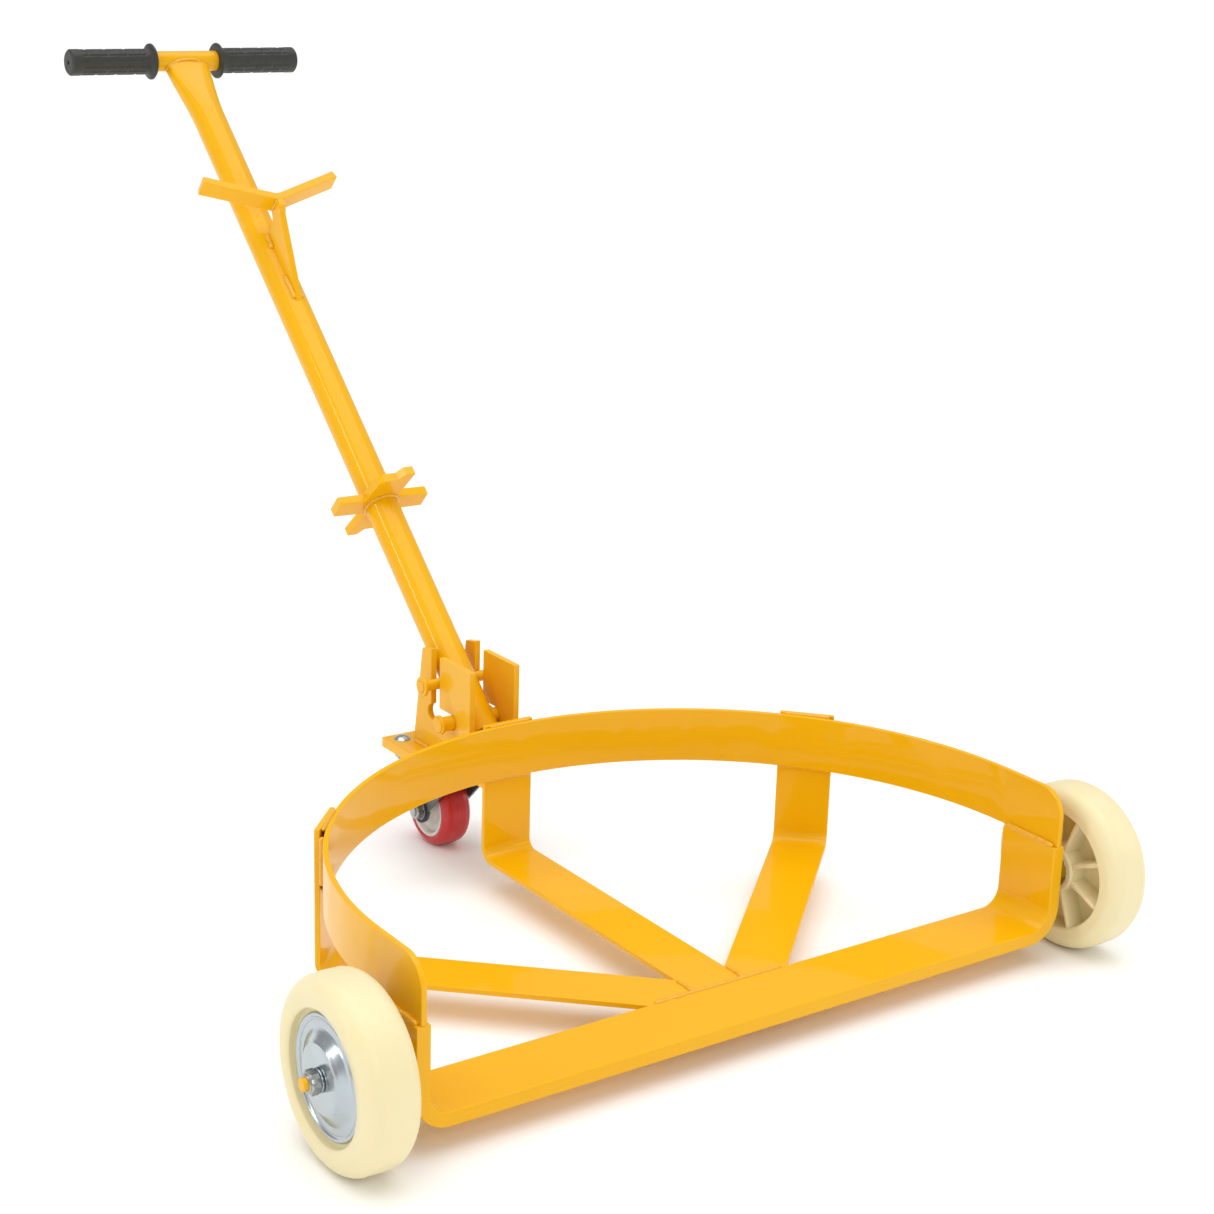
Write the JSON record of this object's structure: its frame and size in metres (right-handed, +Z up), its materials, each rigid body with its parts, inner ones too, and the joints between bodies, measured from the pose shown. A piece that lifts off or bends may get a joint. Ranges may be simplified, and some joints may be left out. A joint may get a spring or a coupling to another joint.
{
  "type": "drum dolly",
  "caption": "Low three-wheel dolly for an upright drum: an open ring on flat struts, large side wheels, a rear swivel caster and a lift-off leaning tee handle.",
  "frame": {"origin": "on the floor under the middle of the whole dolly, 447 mm behind the centre of the ring", "axes": "+Z up, +X along the side wheels' axles to the user's right when looking from the open front, +Y from the open front to the handle"},
  "size_m": [0.8102, 1.1268, 0.7282],
  "materials": {
    "paint": "gloss yellow powder coat on steel",
    "zinc": "bright zinc plate",
    "nylon": "satin moulded cream nylon",
    "grip": "ribbed black vinyl",
    "tread": "smooth red polyurethane",
    "core": "moulded light grey plastic",
    "fork": "dark grey coated pressed steel"
  },
  "bodies": {
    "carriage": {"ring_band": "paint", "front_bar": "paint", "rear_strut": "paint", "left_strut": "paint", "right_strut": "paint", "caster_mount_plate": "paint", "hook_plate_left": "paint", "hook_plate_right": "paint", "axle_stub_left": "paint", "axle_stub_right": "paint", "axle_washers": "zinc", "axle_nuts": "zinc", "carriage_bolts": "zinc", "caster_bolt_nuts": "zinc", "caster_top_plate": "zinc", "caster_kingpin": "zinc"},
    "wheel_left_body": {"wheel_left": "nylon", "hub_cap_left": "zinc", "wheel_bearings_left": "zinc"},
    "wheel_right_body": {"wheel_right": "nylon", "hub_cap_right": "zinc", "wheel_bearings_right": "zinc"},
    "caster_fork_body": {"caster_fork": "fork", "swivel_balls": "zinc", "caster_axle_bolt": "zinc", "caster_axle_washers": "zinc", "caster_axle_nut": "zinc"},
    "caster_wheel_body": {"caster_core": "core", "caster_bearings": "zinc", "caster_tread": "tread"},
    "handle_body": {"handle_tube": "paint", "crossbar": "paint", "grip_left": "grip", "grip_right": "grip", "bung_wrench": "paint", "v_arms": "paint", "v_gusset": "paint", "lower_rod": "paint", "lower_rod_washers": "paint", "upper_rod": "paint", "upper_rod_washers": "paint"}
  },
  "joints": [
    {"name": "wheel_left_spin", "type": "hinge", "parent": "carriage", "child": "wheel_left_body", "pos_m": [-0.3667, -0.48845, 0.075], "axis": [1, 0, 0], "continuous": true},
    {"name": "wheel_right_spin", "type": "hinge", "parent": "carriage", "child": "wheel_right_body", "pos_m": [0.3667, -0.48845, 0.075], "axis": [1, 0, 0], "continuous": true},
    {"name": "caster_swivel", "type": "hinge", "parent": "carriage", "child": "caster_fork_body", "pos_m": [0, -0.02945, 0.09], "axis": [0, 0, 1], "continuous": true},
    {"name": "caster_spin", "type": "hinge", "parent": "caster_fork_body", "child": "caster_wheel_body", "pos_m": [0, -0.00245, 0.038], "axis": [1, 0, 0], "continuous": true},
    {"name": "handle_tilt", "type": "hinge", "parent": "carriage", "child": "handle_body", "pos_m": [0, -0.06749, 0.1485], "axis": [1, 0, 0], "range_deg": [0, 6]}
  ]
}
